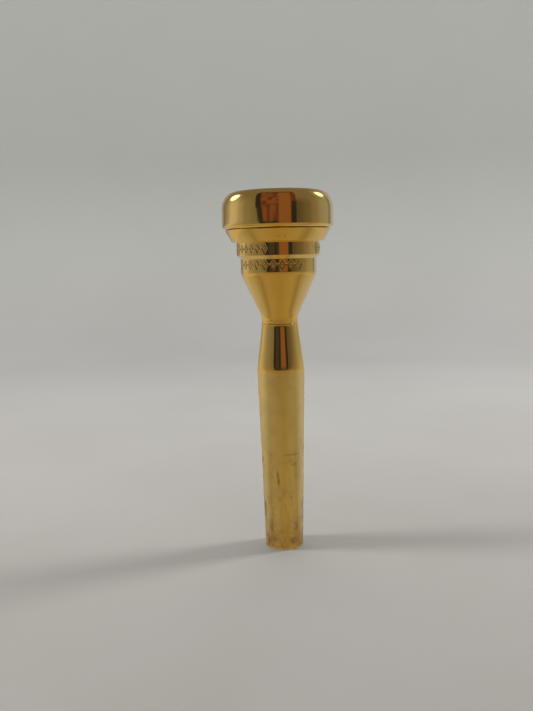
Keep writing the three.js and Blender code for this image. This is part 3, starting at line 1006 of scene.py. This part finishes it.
def opening_glow(s, across, tilt, leaning, z):
    """A dark frame, dim below, warm wood above, and a plank on the right."""
    grain = s.noise(0.035, 2, 0.5, stretch=(1, 1, 0.5))
    wood = s.mix(s.span(grain, 0.42, 0.6), WOOD, WOOD_DEEP)
    glow = s.mix(s.span(z, 83.0, 90.0), LOW_UMBER, wood)
    slat_left, slat_right = SLAT_SIDES
    slat = s.math("MULTIPLY", s.span(across, slat_left, slat_left + 1.0),
                  s.span(across, slat_right, slat_right - 1.0))
    glow = s.mix(s.math("MULTIPLY", slat, s.span(z, 96.0, 84.0)), glow, FRAME_DARK)
    plank_left, plank_right = PLANK_SIDES
    glow = s.mix(s.span(across, plank_left, plank_left + 1.4), glow, PLANK)
    past_plank = s.mix(s.span(tilt, 9.0, 14.0), FRAME_DARK, WOOD_DEEP)
    glow = s.mix(s.span(across, plank_right, plank_right + 1.2), glow, past_plank)
    glow = s.mix(s.span(z, 58.0, 52.0), glow, FRAME_DARK)
    left_frame = s.span(leaning, OPENING_LEFT + OPENING_FRAME + 0.8, OPENING_LEFT + OPENING_FRAME - 0.8)
    top_frame = s.span(tilt, 36.5, 38.0)
    return s.mix(s.math("MAXIMUM", left_frame, top_frame), glow, FRAME_DARK)


def opening_extent(s, across, tilt, leaning, z):
    """1 inside the opening, whose corners are round and whose foot narrows."""
    middle = (OPENING_LEFT + OPENING_RIGHT) / 2
    half_width = (OPENING_RIGHT - OPENING_LEFT) / 2
    to_left = s.math("SUBTRACT", middle, leaning)
    to_right = s.math("SUBTRACT", across, middle)
    beside = s.math("SUBTRACT", s.math("MAXIMUM", to_left, to_right), half_width - OPENING_CORNER)
    above = s.math("MULTIPLY_ADD", tilt, OPENING_CORNER_LEAN,
                   OPENING_CORNER - OPENING_TOP * OPENING_CORNER_LEAN)
    below = s.span_line(z, BENCH_TOP_Z + OPENING_FOOT, BENCH_TOP_Z, 0.0, OPENING_CORNER)
    corner = [s.math("MAXIMUM", side, 0.0) for side in (beside, above, below)]
    squares = [s.math("MULTIPLY", side, side) for side in corner]
    reach = s.math("SQRT", s.math("ADD", s.math("ADD", squares[0], squares[1]), squares[2]))
    return s.span(reach, OPENING_CORNER - 0.5, OPENING_CORNER + 0.3, 1.0, 0.0)


def tent_material():
    """The tent's glow: wall, opening, bench and lamps, each laid over the one before."""
    s = Shader("tent_glow")
    s.nodes.remove(s.bsdf)
    x, y, _ = s.split(s.place)
    z = s.height()
    azimuth = azimuth_of(s, x, y)
    out_squared = s.math("ADD", s.math("MULTIPLY", x, x), s.math("MULTIPLY", y, y))
    out = s.math("DIVIDE", s.math("SQRT", out_squared), MM)
    across, tilt = facing_angles(s)
    lean_low, lean_high = OPENING_LEAN_Z
    lean = s.span_line(z, lean_low, lean_high, OPENING_LEAN * (lean_low - OPENING_LEVEL_Z),
                       OPENING_LEAN * (lean_high - OPENING_LEVEL_Z))
    opening = (across, tilt, s.math("ADD", across, lean), z)
    glow = s.mix(opening_extent(s, *opening), wall_glow(s, azimuth, z), opening_glow(s, *opening))
    glow = s.mix(bench_extent(s, azimuth, z), glow, bench_glow(s, azimuth, out, z))
    lamps = s.greatest([glint(s, *LEFT_GLINT), glint(s, *RIGHT_GLINT)])
    emission = s.nodes.new("ShaderNodeEmission")
    s.wire(s.mix(lamps, glow, LAMP_GLOW), emission.inputs["Color"])
    s.wire(emission.outputs[0], s.nodes["Material Output"].inputs["Surface"])
    return s.material


def make_tent():
    """A flat disc on the floor under a dome."""
    foot = math.asin(-TENT_CENTRE_Z / TENT_RADIUS)
    angles = [lerp(foot, math.pi / 2, i / TENT_STEPS) for i in range(TENT_STEPS)]
    dome = [(TENT_RADIUS * math.cos(a), TENT_CENTRE_Z + TENT_RADIUS * math.sin(a)) for a in angles]
    profile = [(0, 0), *dome, (0, TENT_CENTRE_Z + TENT_RADIUS)]
    tent = revolved("light_tent", [(r * MM, z * MM) for r, z in profile])
    tent.data.materials.append(tent_material())
    hide_from(tent, "camera", "diffuse", "transmission", "volume_scatter", "shadow")


# ---- Lights, in metres, degrees and watts --------------------------------------------------------------

# Each soft lamp: name, azimuth from the front, elevation, distance, diameter, power.
SOFT_LAMPS = [
    ("left_lamp", -91, 42, 0.55, 0.13, 1.25),
    ("right_lamp", 108, 42, 0.55, 0.13, 1.25),
    ("back_fill", 180, 62, 0.65, 0.5, 0.9),
]
ROOM_LIGHT = (0.98, 0.99, 1.0, 1)
ROOM_STRENGTH = 0.33


def soft_light(name, azimuth, elevation, distance, size, watts):
    """A round area light facing the mouthpiece. It lights the scene but isn't reflected."""
    data = bpy.data.lights.new(name, "AREA")
    data.shape = "DISK"
    data.size = size
    data.energy = watts
    lamp = bpy.data.objects.new(name, data)
    level = math.cos(math.radians(elevation))
    towards = Vector((level * math.sin(math.radians(azimuth)), -level * math.cos(math.radians(azimuth)),
                      math.sin(math.radians(elevation))))
    lamp.location = towards * distance
    lamp.rotation_mode = "QUATERNION"
    lamp.rotation_quaternion = towards.to_track_quat("Z", "Y")
    lamp.visible_glossy = False
    bpy.context.scene.collection.objects.link(lamp)


def make_lights():
    for lamp in SOFT_LAMPS:
        soft_light(*lamp)
    world = bpy.data.worlds.new("studio")
    world.use_nodes = True
    background = world.node_tree.nodes["Background"]
    background.inputs["Color"].default_value = ROOM_LIGHT
    background.inputs["Strength"].default_value = ROOM_STRENGTH
    bpy.context.scene.world = world


# ---- Camera, in metres -----------------------------------------------------------------------------------

CAMERA_DISTANCE = 0.1808      # in front of the axis
CAMERA_HEIGHT = 0.0734        # above the floor
CAMERA_SIDE = -0.0035
CAMERA_PITCH = math.radians(7.78)       # downwards
CAMERA_ROLL = math.radians(1.41)
CAMERA_LENS = 37.25           # millimetres, on a sensor 36 mm wide


def make_camera():
    data = bpy.data.cameras.new("camera")
    data.sensor_width = 36
    data.lens = CAMERA_LENS
    data.clip_start = 0.005
    data.clip_end = 10
    camera = bpy.data.objects.new("camera", data)
    forward = Vector((0, math.cos(CAMERA_PITCH), -math.sin(CAMERA_PITCH)))
    right = Vector((1, 0, 0))
    up = right.cross(forward)
    rolled_right = right * math.cos(CAMERA_ROLL) - up * math.sin(CAMERA_ROLL)
    rolled_up = up * math.cos(CAMERA_ROLL) + right * math.sin(CAMERA_ROLL)
    axes = Matrix((rolled_right, rolled_up, -forward)).transposed()
    place = Vector((CAMERA_SIDE, -CAMERA_DISTANCE, CAMERA_HEIGHT))
    camera.matrix_world = Matrix.Translation(place) @ axes.to_4x4()
    bpy.context.scene.collection.objects.link(camera)
    bpy.context.scene.camera = camera


# ---- Assembly ------------------------------------------------------------------------------------------


def dress(piece, node, body, material):
    """Gives a piece its looks and puts it in a CAD node's place, on that node's body."""
    piece.data.materials.append(material)
    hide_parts(node)
    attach(piece, body)


gold = polished_gold()
rubber = seal_rubber()
dress(make_rim(), "rim", "rim", gold)
dress(make_cup(), "cup", "cup", gold)
dress(make_backbore(), "backbore", "backbore", worn_gold())
dress(make_seal("rim_seal", RIM_RING), "rim_seal_ring", "rim_seal", rubber)
dress(make_seal("backbore_seal", BACKBORE_RING), "backbore_seal_ring", "backbore_seal",
      rubber)

make_cloth()
make_tent()
make_lights()
make_camera()
bpy.context.scene.view_settings.view_transform = "Standard"
